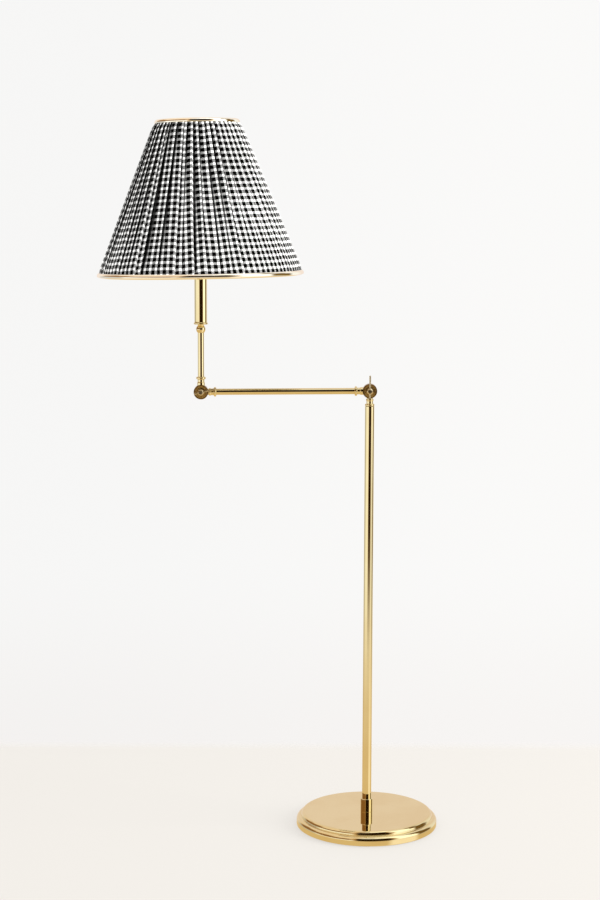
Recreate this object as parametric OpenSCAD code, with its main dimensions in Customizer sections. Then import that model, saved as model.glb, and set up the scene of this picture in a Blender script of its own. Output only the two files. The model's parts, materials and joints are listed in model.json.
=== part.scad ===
// Bridge floor lamp: round weighted base, fixed pole, a side arm between two
// friction elbows with wing keys, and a gathered cloth shade on a candle socket.
// Millimetres. Origin: centre of the base's underside. +Z up, the arm runs to -X,
// the wing keys face -Y.

/* [Base] */
// Outer diameter of the base
base_d = 290.8; // [270:1:320]
// Width of the rounded rim outside the raised top of the base
base_rim_w = 9.3; // [8:0.1:11]
// Height of the base's flat top above the floor
base_h = 28.4; // [26:0.2:36]
// Wall of the shell's top
base_wall = 2; // [1.5:0.1:3]
// Wall of the shell's rim
base_rim_wall = 4; // [3:0.1:5]
// Thickness of the felt under the base
felt_t = 2.5; // [2:0.1:4]
// Thickness of the plate of the cast weight
weight_plate_t = 12; // [8:0.5:14]
// Height of the cord inlet's axis above the floor
inlet_h = 8.5; // [8:0.1:9]
// Bore of the cord inlet's bushing
inlet_bore = 7; // [5:0.1:8]

/* [Pole] */
// Height of the elbow axes above the floor
elbow_h = 906.8; // [700:0.1:1100]
// Outer diameter of the pole
pole_d = 19; // [16:0.1:22]
// Wall of the pole
pole_wall = 1.2; // [0.8:0.1:2]
// Diameter of the collar on the base
hub_d = 25; // [23:0.1:32]
// Height of the collar on the base
hub_h = 27.6; // [15:0.1:40]

/* [Arm] */
// Distance between the two elbow axes
arm_reach = 342; // [260:1:420]
// Fall of the arm from level towards the shade
arm_fall = 0.5; // [0:0.05:2]
// Outer diameter of the arm and of the stem
tube_d = 12.7; // [12.5:0.1:14]

/* [Elbows] */
// Diameter of an elbow's disc
disc_d = 29.5; // [27:0.1:34]
// Thickness of one half of an elbow
disc_t = 7; // [6:0.1:9]
// Slit between the two halves of an elbow
disc_gap = 0.4; // [0.3:0.1:0.8]
// Diameter of the neck where it leaves the disc
neck_d = 15.6; // [14.5:0.1:16]
// Distance from an elbow's axis to the end of its neck
neck_reach = 25.5; // [23:0.1:32]
// Diameter of the check ring between neck and tube
ring_d = 19.4; // [18:0.1:22]
// Length of the check ring
ring_t = 5.6; // [4:0.1:8]

/* [Wing keys] */
// Diameter of the clamping screw
screw_d = 6; // [5:0.1:6.5]
// Diameter of a key's hub
key_hub_d = 12.4; // [10:0.1:14]
// Length of a key's hub
key_hub_len = 9.7; // [8:0.1:14]
// Diameter of a key's round wings
key_bar_d = 3.6; // [3:0.1:4.4]
// Reach of the long wing from the screw's axis
key_long = 32.5; // [20:0.5:34]
// Reach of the short wing from the screw's axis
key_short = 14; // [12:0.5:18]
// Angle of the long wing at the pole, from +X upwards
arm_key_angle = 90; // [0:1:359]
// Angle of the long wing at the shade stem, from +X upwards
stem_key_angle = 14; // [0:1:359]

/* [Shade stem] */
// Distance from the elbow's axis to the centre of the ball
ball_rise = 127; // [90:1:180]
// Diameter of the ball
ball_d = 19; // [16:0.1:20]
// Outer diameter of the candle tube
candle_d = 25.4; // [23:0.1:28]
// Wall of the candle tube
candle_wall = 1; // [0.8:0.1:1.5]
// Length of the candle tube
candle_len = 90.4; // [70:0.1:120]
// Diameter of the lip at the foot of the candle tube
candle_lip_d = 28.8; // [26.5:0.1:32]

/* [Socket and bulb] */
// Diameter of the cup that holds the socket
socket_cup_d = 37.5; // [36:0.1:40]
// Height of the socket cup
socket_cup_h = 14; // [13:0.1:18]
// Diameter of the bulb's screw cap
cap_d = 26.2; // [26:0.1:26.4]
// Diameter of the bulb's glass
bulb_d = 60; // [50:1:62]
// Length of the bulb from contact to crown
bulb_len = 108; // [100:1:116]

/* [Shade] */
// Outer diameter of the shade at its lower rim
shade_bottom_d = 414.5; // [340:0.5:450]
// Outer diameter of the shade at its upper rim
shade_top_d = 168.5; // [150:0.5:220]
// Height of the shade
shade_h = 310; // [240:1:340]
// Height of the shade's lower edge above the candle tube's top
shade_lift = 6.2; // [5:0.1:12]
// Lean of the shade on its wire frame
shade_lean = 1.1; // [0:0.1:2]
// Height of the rim bands
band_h = 8; // [6:0.1:10]
// Bulge of the half-round rim bands
band_bulge = 1.6; // [1:0.1:3]
// Thickness of the lining
lining_t = 0.8; // [0.5:0.1:1.2]
// Depth of the slot that holds lining and cloth together
slot_w = 4.2; // [3.6:0.1:5]
// Number of main folds in the gathered cloth
folds = 66; // [40:1:80]
// Depth of the folds at the lower rim
fold_low = 1; // [0.5:0.1:1.3]
// Depth of the folds at the upper rim
fold_high = 2; // [0.8:0.1:2.2]
// Diameter of the shade's frame wire
wire_frame_d = 3; // [2.5:0.1:4]

/* [Hidden] */
$fn = 96;

// Colours as the photograph shows them
brass = [0.83, 0.66, 0.36];
steel = [0.62, 0.62, 0.62];
iron = [0.25, 0.25, 0.26];
felt_black = [0.12, 0.12, 0.12];
wire_brown = [0.3, 0.22, 0.14];
fibre = [0.35, 0.2, 0.12];
phenolic = [0.1, 0.1, 0.1];
ivory = [0.95, 0.93, 0.87];
gingham_grey = [0.45, 0.45, 0.46];
glass_white = [0.97, 0.97, 0.94, 0.6];

// Clearances
fit = 0.1;        // a turned piece in its bore, on the radius
running = 0.05;   // a shaft that turns in its bore, on the radius
cloth_gap = 0.3;  // between lining, cloth and rims
overcut = 1;      // how far a cut runs past a face

// The pipe thread that joins neck, check ring and tube
nipple_d = 10;
nipple_bore = 6.6;
nipple_hole_d = nipple_d + 2 * fit;
tube_end = neck_reach + ring_t;
nipple_grip = 12;
nipple_neck_end = disc_d / 2 + 0.9;
wire_d = 5.8;
wire_start = nipple_neck_end + 0.5;

// Base
base_r = base_d / 2;
base_top_r = base_r - base_rim_w;
shell_lift = 1;
top_round = 7;
cove_r = 1.3;
rim_round = base_rim_w - cove_r - 0.3;
cove_top = base_h - top_round - 0.6;
ledge_z = cove_top - cove_r;
ledge_wall = 3;
weight_gap = 1;
weight_r = base_top_r - base_wall - weight_gap;
weight_top = base_h - base_wall;
inner_chamfer = top_round - base_wall - weight_gap;
recess_r = 22;
recess_top = 12;
washer_t = 1.6;
nut_h = 4;
nut_flats = 16;
nipple_foot = 5;
felt_r = base_r - base_rim_wall - 0.5;
bushing_flange_r = 6;
bushing_body_r = inlet_bore / 2 + 1.4;
bushing_seat_y = base_r - 1.8;
bushing_barb = 0.4;
barb_start = base_r - base_rim_wall - 0.3;
barb_end = barb_start - 2.4;

// Pole
pole_top = elbow_h - tube_end;
bush_len = 20;
pole_bore_r = pole_d / 2 - pole_wall;

// Elbows
disc_r = disc_d / 2;
disc_face = disc_gap / 2 + disc_t;
disc_clear = 0.4;
boss_r = 6.5;
boss_drop = 0.3;
chamber_r = 10.8;
chamber_depth = 3.2;
blind_wall = 1.5;
waist_d = neck_d - 1.8;
tongue_d = 12.2;
shoulder_start = disc_r + 0.9;
shoulder_end = disc_r + 4.6;
washer_r = boss_r - 0.2;
screw_hole_r = screw_d / 2 + running;
key_gap = 0.1;
key_wing_depth = key_bar_d / 2 + 0.8;

// Arm
arm_turn = -90 - arm_fall;
stem_x = -arm_reach * cos(arm_fall);
stem_foot = elbow_h - arm_reach * sin(arm_fall);

// Stem, socket and bulb, as heights above the floor
ball_z = stem_foot + ball_rise;
ball_flat = sqrt(pow(ball_d / 2, 2) - pow(tube_d / 2, 2));
stem_top = ball_z - ball_flat;
cup_foot = ball_z + ball_flat;
cup_boss_h = 2.8;
cup_flange_t = 1.2;
candle_foot = cup_foot + cup_boss_h + cup_flange_t;
candle_top = candle_foot + candle_len;
socket_floor = 1.5;
cup_wall = 1.2;
socket_nut_h = 4;
socket_z = candle_top + socket_floor + socket_nut_h + 0.6;
socket_base_t = 3;
socket_h = 50;
cup_rim_z = candle_top + socket_cup_h;
socket_skirt_r = socket_cup_d / 2 - cup_wall - fit;
socket_neck_r = socket_skirt_r - 0.9;
screw_shell_t = 0.5;
screw_shell_bore_r = cap_d / 2 + 0.35;
screw_shell_r = screw_shell_bore_r + screw_shell_t;
socket_bore_r = screw_shell_r + fit;
socket_inner_z = socket_z + socket_base_t;
contact_h = 4;
bulb_z = socket_inner_z + contact_h + 0.1;
cap_h = 27;
glass_t = 0.9;
glass_neck_r = 12.8;
bulb_r = bulb_d / 2;
bulb_centre = bulb_z + bulb_len - bulb_r;

// Shade. u runs up the slope from the lower edge, v outwards from the slot's middle.
shade_z = candle_top + shade_lift;
slope = atan((shade_bottom_d - shade_top_d) / 2 / (shade_h - band_h));
cheek = 0.8;
web = 1;
band_out = slot_w / 2 + cheek + band_bulge;
shade_r = shade_bottom_d / 2 - band_out * cos(slope) + band_h / 2 * sin(slope);
slant = shade_h / cos(slope) - band_out * tan(slope);
lining_in = -slot_w / 2 + 0.2;
cloth_in = lining_in + lining_t + cloth_gap;
cloth_t = 0.5;
fitter_ring_t = 1.6;
fitter_ring_r = 22;
fitter_z = cup_rim_z;
retaining_h = 5;
spokes = 3;

// ---------- helpers ----------
// Points on an arc from angle a to angle b
function arc(cx, cy, r, a, b, n = 6) =
    [for (i = [0:n]) let (t = a + (b - a) * i / n) [cx + r * cos(t), cy + r * sin(t)]];

// A place on the shade's section, as radius and height above the lower edge
function on_slope(u, v) =
    [shade_r - u * sin(slope) + v * cos(slope), u * cos(slope) + v * sin(slope)];

module pipe(outer_r, inner_r, z0, z1) {
    translate([0, 0, z0])
        difference() {
            cylinder(r = outer_r, h = z1 - z0);
            translate([0, 0, -overcut])
                cylinder(r = inner_r, h = z1 - z0 + 2 * overcut);
        }
}

// A cylinder along Y from y0 to y1
module y_bar(r, y0, y1) {
    translate([0, y0, 0]) rotate([-90, 0, 0]) cylinder(r = r, h = y1 - y0);
}

// Puts children, drawn with their tube along +Z, at an elbow axis along the arm
module at_elbow(x, turn) {
    translate([x * cos(arm_fall), 0, elbow_h + x * sin(arm_fall)])
        rotate([0, turn, 0]) children();
}

module at_stem() {
    translate([stem_x, 0, 0]) children();
}

module at_shade() {
    translate([stem_x, 0, shade_z]) rotate([0, -shade_lean, 0]) children();
}

// ---------- base ----------
module shell_outside() {
    rotate_extrude()
        polygon(concat(
            [[0, shell_lift], [0, base_h]],
            arc(base_top_r - top_round, base_h - top_round, top_round, 90, 0),
            arc(base_top_r + cove_r, cove_top, cove_r, 180, 270),
            arc(base_r - rim_round, ledge_z - rim_round, rim_round, 90, 0, 10),
            arc(base_r - 2, shell_lift + 2, 2, 0, -90, 4)
        ));
}

module shell_inside() {
    rim_in = base_r - base_rim_wall;
    step_z = ledge_z - ledge_wall;
    rotate_extrude()
        polygon([
            [0, shell_lift - overcut], [0, weight_top],
            [base_top_r - base_wall - inner_chamfer, weight_top],
            [base_top_r - base_wall, weight_top - inner_chamfer], [base_top_r - base_wall, step_z],
            [rim_in, step_z], [rim_in, shell_lift - overcut]
        ]);
}

module base_shell() {
    wall_in = base_r - base_rim_wall;
    color(brass)
        difference() {
            shell_outside();
            shell_inside();
            cylinder(d = nipple_hole_d, h = base_h + overcut);
            translate([0, 0, inlet_h]) {
                y_bar(bushing_body_r + fit, wall_in - overcut, base_r + overcut);
                y_bar(bushing_flange_r + fit, bushing_seat_y, base_r + overcut);
                // room for the barb under the ledge
                y_bar(bushing_body_r + bushing_barb + fit, barb_end - overcut, barb_start + fit);
            }
        }
}

module base_weight() {
    ribs = 6;
    rib_w = 9;
    pocket_in = 34;
    pocket_out = weight_r - 16;
    channel_w = 14;
    chamfer = inner_chamfer + weight_gap;
    color(iron)
        difference() {
            rotate_extrude()
                polygon([
                    [nipple_hole_d / 2, felt_t], [weight_r, felt_t],
                    [weight_r, weight_top - chamfer], [weight_r - chamfer, weight_top],
                    [nipple_hole_d / 2, weight_top]
                ]);
            // recess for the washer and nut
            translate([0, 0, felt_t - overcut])
                cylinder(r = recess_r, h = recess_top - felt_t + overcut);
            // ribbed pocket in the underside
            difference() {
                pipe(pocket_out, pocket_in, felt_t - overcut, weight_top - weight_plate_t);
                for (i = [0:ribs - 1])
                    rotate([0, 0, 30 + i * 360 / ribs])
                        translate([0, -rib_w / 2, 0])
                            cube([weight_r, rib_w, base_h]);
            }
            // way for the cord from the inlet to the middle
            translate([-channel_w / 2, 0, felt_t - overcut])
                cube([channel_w, base_r, recess_top - felt_t + overcut]);
        }
}

module base_felt() {
    color(felt_black) cylinder(r = felt_r, h = felt_t);
}

// Snap-in bushing in the rear wall, where a flexible cord would enter
module cord_bushing() {
    bore_r = inlet_bore / 2;
    color(phenolic)
        translate([0, 0, inlet_h])
            rotate([-90, 0, 0])
                rotate_extrude()
                    polygon([
                        [bore_r, barb_end], [bushing_body_r - 0.2, barb_end],
                        [bushing_body_r + bushing_barb, barb_start - 0.8],
                        [bushing_body_r + bushing_barb, barb_start],
                        [bushing_body_r, barb_start], [bushing_body_r, bushing_seat_y],
                        [bushing_flange_r, bushing_seat_y], [bushing_flange_r, base_r - 0.8],
                        [bushing_flange_r - 0.8, base_r], [bore_r, base_r]
                    ]);
}

module base_washer() {
    color(steel) pipe(14, nipple_hole_d / 2, recess_top - washer_t, recess_top);
}

module base_nut() {
    top = recess_top - washer_t;
    color(steel)
        difference() {
            translate([0, 0, top - nut_h])
                cylinder(d = nut_flats / cos(30), h = nut_h, $fn = 6);
            cylinder(d = nipple_hole_d, h = base_h);
        }
}

module base_nipple() {
    color(brass)
        pipe(nipple_d / 2, nipple_bore / 2, nipple_foot, base_h + bush_len - 2);
}

// ---------- pole ----------
module pole_hub() {
    bore_r = pole_d / 2 + fit;
    r = hub_d / 2;
    color(brass)
        translate([0, 0, base_h])
            rotate_extrude()
                polygon(concat(
                    [[bore_r, 0], [r - 0.4, 0], [r, 0.4]],
                    arc(r - 1.2, hub_h - 1.2, 1.2, 0, 90, 4),
                    [[bore_r, hub_h]]
                ));
}

module pole_tube() {
    color(brass) pipe(pole_d / 2, pole_bore_r, base_h, pole_top);
}

module pole_bushes() {
    color(brass)
        for (z = [base_h, pole_top - bush_len])
            pipe(pole_bore_r - fit, nipple_hole_d / 2, z, z + bush_len);
}

module pole_wire() {
    color(wire_brown)
        translate([0, 0, nipple_foot])
            cylinder(d = wire_d, h = elbow_h - wire_start - nipple_foot);
}

// ---------- elbow fittings, drawn with the tube along +Z ----------
// A front half's neck meets its disc at full width. A rear half's has a slim tongue there,
// which lets the elbow fold further before the two necks meet.
module neck_turning(front) {
    r = neck_d / 2;
    root = front
        ? [[r, disc_r - 4]]
        : concat([[tongue_d / 2, disc_r - 4], [tongue_d / 2, shoulder_start]],
                 arc(r - 1.5, shoulder_start + 1.5, 1.5, -60, 0, 4));
    rotate_extrude()
        polygon(concat(
            [[0, disc_r - 4]], root,
            [[r, shoulder_end - 0.9], [r - 0.3, shoulder_end]],
            arc(waist_d / 2 + 1.2, shoulder_end + 1.2, 1.2, 250, 180, 4),
            [[waist_d / 2, neck_reach], [0, neck_reach]]
        ));
}

// One half of an elbow on the +Y side; front = true puts it on the -Y side
module knuckle_half(front) {
    inner = disc_gap / 2;
    edge = 0.6;
    screw_end = front ? disc_face + overcut : disc_face - blind_wall;
    rotate([0, 0, front ? 180 : 0])
        difference() {
            union() {
                rotate([-90, 0, 0])
                    rotate_extrude()
                        polygon(concat(
                            [[0, inner], [disc_r, inner]],
                            arc(disc_r - edge, disc_face - edge, edge, 0, 90, 5),
                            [[0, disc_face]]
                        ));
                difference() {
                    neck_turning(front);
                    y_bar(disc_r + disc_clear, -neck_d, inner);
                    y_bar(disc_r, disc_face, neck_d);
                }
            }
            // wire chamber round the lowered boss
            y_bar(boss_r, 0, inner + boss_drop);
            difference() {
                y_bar(chamber_r, 0, inner + chamber_depth);
                y_bar(boss_r, 0, disc_face);
            }
            y_bar(screw_hole_r, 0, screw_end);
            translate([0, 0, nipple_neck_end])
                cylinder(d = nipple_hole_d, h = neck_reach);
            translate([0, 0, chamber_r - 1.5])
                cylinder(d = nipple_bore, h = neck_reach);
        }
}

module check_ring() {
    r = ring_d / 2;
    bead = 1.6;
    color(brass)
        rotate_extrude()
            polygon(concat(
                [[nipple_hole_d / 2, neck_reach], [waist_d / 2 + 0.4, neck_reach]],
                arc(r - bead, neck_reach + 0.5 + bead, bead, -90, 0, 5),
                arc(r - bead, tube_end - 0.5 - bead, bead, 0, 90, 5),
                [[tube_d / 2 + 0.6, tube_end], [nipple_hole_d / 2, tube_end]]
            ));
}

module nipple() {
    color(brass)
        pipe(nipple_d / 2, nipple_bore / 2, nipple_neck_end + fit, tube_end + nipple_grip);
}

// Fibre washer between the two halves; side is the half that carries it
module friction_washer(side) {
    seat = disc_gap / 2 + boss_drop;
    y0 = side < 0 ? -seat : -seat + running;
    y1 = side < 0 ? seat - running : seat;
    color(fibre)
        difference() {
            y_bar(washer_r, y0, y1);
            y_bar(screw_hole_r + fit, -disc_t, disc_t);
        }
}

// Both wings of a key along its Z axis: one round bar with ball tips, flared at the hub
module key_wings() {
    bar_r = key_bar_d / 2;
    flare_r = bar_r + 0.5;
    flare = key_hub_d / 2 + 2;
    rotate_extrude()
        polygon(concat(
            arc(0, bar_r - key_short, bar_r, -90, 0),
            [[bar_r, -flare], [flare_r, -1], [flare_r, 1], [bar_r, flare]],
            arc(0, key_long - bar_r, bar_r, 0, 90)
        ));
}

module wing_key(angle) {
    back = -disc_face - key_gap;
    front = back - key_hub_len;
    hub_r = key_hub_d / 2;
    chamfer = key_wing_depth - 0.2;
    dimple_r = hub_r - chamfer - 0.5;
    color(brass)
        rotate([0, -angle, 0])
            difference() {
                union() {
                    y_bar(screw_d / 2, back - overcut, disc_face - blind_wall - 0.5);
                    rotate([90, 0, 0])
                        rotate_extrude()
                            polygon([
                                [0, -back], [hub_r - 1.6, -back], [hub_r - 1.2, -back + 2.6],
                                [hub_r, -back + 4], [hub_r, -front - chamfer],
                                [hub_r - chamfer, -front], [0, -front]
                            ]);
                    translate([0, front + key_wing_depth, 0]) rotate([0, 90, 0]) key_wings();
                }
                y_bar(dimple_r, front - overcut, front + 1.4);
            }
}

module pole_knuckle() { color(brass) at_elbow(0, 180) knuckle_half(false); }
module pole_check_ring() { at_elbow(0, 180) check_ring(); }
module pole_nipple() { at_elbow(0, 180) nipple(); }
module arm_key() { at_elbow(0, 0) wing_key(arm_key_angle); }
module stem_key() { at_elbow(-arm_reach, 0) wing_key(stem_key_angle); }

// ---------- arm ----------
module arm_knuckle_inner() { color(brass) at_elbow(0, arm_turn) knuckle_half(true); }
module arm_knuckle_outer() { color(brass) at_elbow(-arm_reach, arm_turn + 180) knuckle_half(false); }

module arm_tube() {
    color(brass)
        at_elbow(0, arm_turn)
            pipe(tube_d / 2, nipple_hole_d / 2, tube_end, arm_reach - tube_end);
}

module arm_check_rings() {
    at_elbow(0, arm_turn) check_ring();
    at_elbow(-arm_reach, arm_turn + 180) check_ring();
}

module arm_nipples() {
    at_elbow(0, arm_turn) nipple();
    at_elbow(-arm_reach, arm_turn + 180) nipple();
}

module friction_washers() {
    at_elbow(0, 0) friction_washer(-1);
    at_elbow(-arm_reach, 0) friction_washer(1);
}

module arm_wire() {
    color(wire_brown)
        at_elbow(0, arm_turn)
            translate([0, 0, wire_start])
                cylinder(d = wire_d, h = arm_reach - 2 * wire_start);
}

// ---------- shade stem ----------
module stem_knuckle() { color(brass) at_elbow(-arm_reach, 0) knuckle_half(true); }
module stem_check_ring() { at_elbow(-arm_reach, 0) check_ring(); }
module stem_nipple() { at_elbow(-arm_reach, 0) nipple(); }

module stem_tube() {
    color(brass)
        at_stem() pipe(tube_d / 2, nipple_hole_d / 2, stem_foot + tube_end, stem_top);
}

module stem_ball() {
    color(brass)
        at_stem()
            difference() {
                intersection() {
                    translate([0, 0, ball_z]) sphere(d = ball_d);
                    translate([0, 0, stem_top]) cylinder(d = ball_d, h = 2 * ball_flat);
                }
                translate([0, 0, stem_top - overcut])
                    cylinder(d = nipple_hole_d, h = 2 * ball_flat + 2 * overcut);
            }
}

module stem_wire() {
    color(wire_brown)
        at_stem()
            translate([0, 0, stem_foot + wire_start])
                cylinder(d = wire_d, h = socket_z - 0.4 - stem_foot - wire_start);
}

module candle_cup() {
    spigot_r = candle_d / 2 - candle_wall - fit;
    color(brass)
        at_stem()
            rotate_extrude()
                polygon([
                    [nipple_hole_d / 2, cup_foot], [6.2, cup_foot],
                    [6.6, cup_foot + cup_boss_h - 0.6],
                    [candle_lip_d / 2 - 1, cup_foot + cup_boss_h],
                    [candle_lip_d / 2 - 0.2, candle_foot - 0.5],
                    [candle_lip_d / 2 - 0.4, candle_foot], [spigot_r, candle_foot],
                    [spigot_r, candle_foot + 3], [nipple_hole_d / 2, candle_foot + 3]
                ]);
}

module candle_tube() {
    lip_r = candle_lip_d / 2;
    tube_r = candle_d / 2;
    sweep = 2 * (lip_r - tube_r);
    lip_t = 1.2;
    color(brass)
        at_stem()
            rotate_extrude()
                polygon(concat(
                    [[tube_r - candle_wall, candle_foot], [lip_r, candle_foot]],
                    arc(tube_r + sweep, candle_foot + lip_t + sweep * sin(60), sweep, 240, 180, 5),
                    [[tube_r, candle_top], [tube_r - candle_wall, candle_top]]
                ));
}

module socket_nipple() {
    color(brass)
        at_stem()
            pipe(nipple_d / 2, nipple_bore / 2, stem_top - nipple_grip,
                 candle_top + socket_floor + socket_nut_h + 0.4);
}

module socket_cup() {
    r = socket_cup_d / 2;
    bore = nipple_hole_d / 2;
    color(brass)
        at_stem()
            rotate_extrude()
                polygon(concat(
                    [[bore, candle_top], [r - 1.5, candle_top]],
                    arc(r - 1.5, candle_top + 1.5, 1.5, -90, 0, 4),
                    [[r, cup_rim_z], [r - cup_wall, cup_rim_z]],
                    [[r - cup_wall, candle_top + socket_floor]],
                    [[bore, candle_top + socket_floor]]
                ));
}

module socket_nut() {
    z = candle_top + socket_floor;
    color(steel)
        at_stem()
            difference() {
                translate([0, 0, z]) cylinder(d = nut_flats / cos(30), h = socket_nut_h, $fn = 6);
                translate([0, 0, z - overcut])
                    cylinder(d = nipple_hole_d, h = socket_nut_h + 2 * overcut);
            }
}

module socket_body() {
    color(phenolic)
        at_stem()
            rotate_extrude()
                polygon([
                    [0, socket_z], [socket_skirt_r, socket_z],
                    [socket_skirt_r, cup_rim_z - 0.2], [socket_neck_r, cup_rim_z - 0.2],
                    [socket_neck_r, socket_z + socket_h], [socket_bore_r, socket_z + socket_h],
                    [socket_bore_r, socket_inner_z], [0, socket_inner_z]
                ]);
}

module screw_shell() {
    color(brass)
        at_stem()
            pipe(screw_shell_r, screw_shell_bore_r, socket_inner_z, socket_z + socket_h - 2);
}

module centre_contact() {
    color(brass)
        at_stem()
            translate([0, 0, socket_inner_z]) {
                cylinder(r = 6, h = 0.8);
                cylinder(r1 = 3.5, r2 = 2.5, h = contact_h);
            }
}

// Screw cap with rolled thread rings, insulator and tip
module bulb_cap() {
    r = cap_d / 2;
    ring_pitch = 3.6;
    first = bulb_z + 7;
    color(brass)
        at_stem()
            rotate_extrude()
                polygon(concat(
                    [[0, bulb_z], [4.6, bulb_z], [4.8, bulb_z + 1.4], [10.5, bulb_z + 5]],
                    [for (i = [0:4]) each [
                        [r - 0.9, first + i * ring_pitch], [r, first + (i + 0.5) * ring_pitch]
                    ]],
                    [[r - 0.5, bulb_z + cap_h], [glass_neck_r - glass_t - fit, bulb_z + cap_h]],
                    [[0, bulb_z + cap_h]]
                ));
}

// Outline of the glass, dr inside its outer face
function glass_outline(dr) =
    concat(
        [[glass_neck_r - dr, bulb_z + cap_h], [glass_neck_r - dr, socket_z + socket_h + 0.5]],
        arc(0, bulb_centre, bulb_r - dr, -50, 90, 16)
    );

module bulb_glass() {
    outside = glass_outline(0);
    inside = glass_outline(glass_t);
    color(glass_white)
        at_stem()
            rotate_extrude()
                polygon(concat(outside, [for (i = [len(inside) - 1:-1:0]) inside[i]]));
}

// ---------- shade ----------
// Knurled ring that screws down on the fitter
module shade_retaining_ring() {
    z0 = fitter_z + fitter_ring_t;
    notches = 24;
    outer_r = socket_neck_r + 4.6;
    color(brass)
        at_stem()
            difference() {
                pipe(outer_r, socket_neck_r + fit, z0, z0 + retaining_h);
                for (i = [0:notches - 1])
                    rotate([0, 0, i * 360 / notches])
                        translate([outer_r + 0.4, 0, z0 - overcut])
                            cylinder(r = 1, h = retaining_h + 2 * overcut, $fn = 16);
            }
}

// Place of the frame wire inside the lower rim, as radius and height in the shade's frame
wire_v = -slot_w / 2 - cheek - wire_frame_d / 2 - 0.1;
wire_place = on_slope(band_h * 0.55, wire_v);

// A spoke end on the leaning frame wire, seen from the stem's axis
function wire_point(a) =
    let (x = wire_place[0] * cos(a), y = wire_place[0] * sin(a), z = wire_place[1])
    [x * cos(shade_lean) - z * sin(shade_lean), y,
     x * sin(shade_lean) + z * cos(shade_lean) + shade_z];

module spoke(from, to, d) {
    run = to - from;
    flat = norm([run[0], run[1]]);
    translate(from)
        rotate([0, atan2(flat, run[2]), atan2(run[1], run[0])])
            cylinder(d = d, h = norm(run));
}

// Spider: hub ring, spokes and the wire that carries the lower rim
module shade_fitter() {
    hub_mid = fitter_z + fitter_ring_t / 2;
    spoke_d = 2.6;
    spoke_root = fitter_ring_r + 0.6;
    color(brass)
        union() {
            at_stem() {
                pipe(fitter_ring_r, socket_neck_r + fit, fitter_z, fitter_z + fitter_ring_t);
                for (i = [0:spokes - 1])
                    let (a = 90 + i * 360 / spokes)
                    spoke([spoke_root * cos(a), spoke_root * sin(a), hub_mid],
                          wire_point(a), spoke_d);
                pipe(fitter_ring_r + 2, fitter_ring_r - 0.5, hub_mid - 1.4, hub_mid + 1.4);
            }
            at_shade()
                rotate_extrude()
                    translate(wire_place) circle(d = wire_frame_d, $fn = 24);
        }
}

// Section of a rim band at one edge of the shade: a channel with a half-round back.
// e maps a distance from the edge to u.
function band_section(edge, way) =
    let (u = function (s) edge + way * s, half = slot_w / 2)
    concat(
        [on_slope(u(band_h * 0.8), -half - cheek), on_slope(u(0), -half - cheek)],
        [for (i = [0:8]) let (t = i / 8)
            on_slope(u(band_h * t), half + cheek + band_bulge * sin(180 * t))],
        [on_slope(u(band_h), half), on_slope(u(web), half), on_slope(u(web), -half)],
        [on_slope(u(band_h * 0.8), -half)]
    );

module shade_lower_rim() {
    color(brass) at_shade() rotate_extrude() polygon(band_section(0, 1));
}

module shade_upper_rim() {
    color(brass) at_shade() rotate_extrude() polygon(band_section(slant, -1));
}

cloth_low = web + cloth_gap;
cloth_high = slant - web - cloth_gap;

module shade_lining() {
    color(ivory)
        at_shade()
            rotate_extrude()
                polygon([
                    on_slope(cloth_low, lining_in), on_slope(cloth_low, lining_in + lining_t),
                    on_slope(cloth_high, lining_in + lining_t), on_slope(cloth_high, lining_in)
                ]);
}

// Gathered cloth: knife folds, deep under the upper rim and shallow at the lower one
module shade_cloth() {
    columns = 2 * folds;
    lean_of_fold = 0.7;
    levels = [[cloth_low, fold_low], [slant * 0.45, (fold_low + fold_high) / 2], [cloth_high, fold_high]];
    angle = function (i) (floor(i / 2) + (i % 2) * lean_of_fold) * 360 / folds;
    place = function (i, u, v)
        let (p = on_slope(u, v)) [p[0] * cos(angle(i)), p[0] * sin(angle(i)), p[1]];
    rows = len(levels);
    outer = [for (level = levels) for (i = [0:columns - 1])
        place(i, level[0], cloth_in + cloth_t + (i % 2) * level[1])];
    inner = [for (level = [levels[0], levels[rows - 1]]) for (i = [0:columns - 1])
        place(i, level[0], cloth_in)];
    at_outer = function (row, i) row * columns + i % columns;
    at_inner = function (row, i) (rows + row) * columns + i % columns;
    faces = concat(
        [for (row = [0:rows - 2]) for (i = [0:columns - 1]) each [
            [at_outer(row, i), at_outer(row + 1, i), at_outer(row + 1, i + 1)],
            [at_outer(row, i), at_outer(row + 1, i + 1), at_outer(row, i + 1)]]],
        [for (i = [0:columns - 1]) each [
            [at_inner(0, i), at_inner(1, i + 1), at_inner(1, i)],
            [at_inner(0, i), at_inner(0, i + 1), at_inner(1, i + 1)]]],
        [for (i = [0:columns - 1]) each [
            [at_outer(rows - 1, i), at_inner(1, i), at_inner(1, i + 1)],
            [at_outer(rows - 1, i), at_inner(1, i + 1), at_outer(rows - 1, i + 1)]]],
        [for (i = [0:columns - 1]) each [
            [at_outer(0, i), at_inner(0, i + 1), at_inner(0, i)],
            [at_outer(0, i), at_outer(0, i + 1), at_inner(0, i + 1)]]]
    );
    color(gingham_grey) at_shade() polyhedron(points = concat(outer, inner), faces = faces);
}

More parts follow.
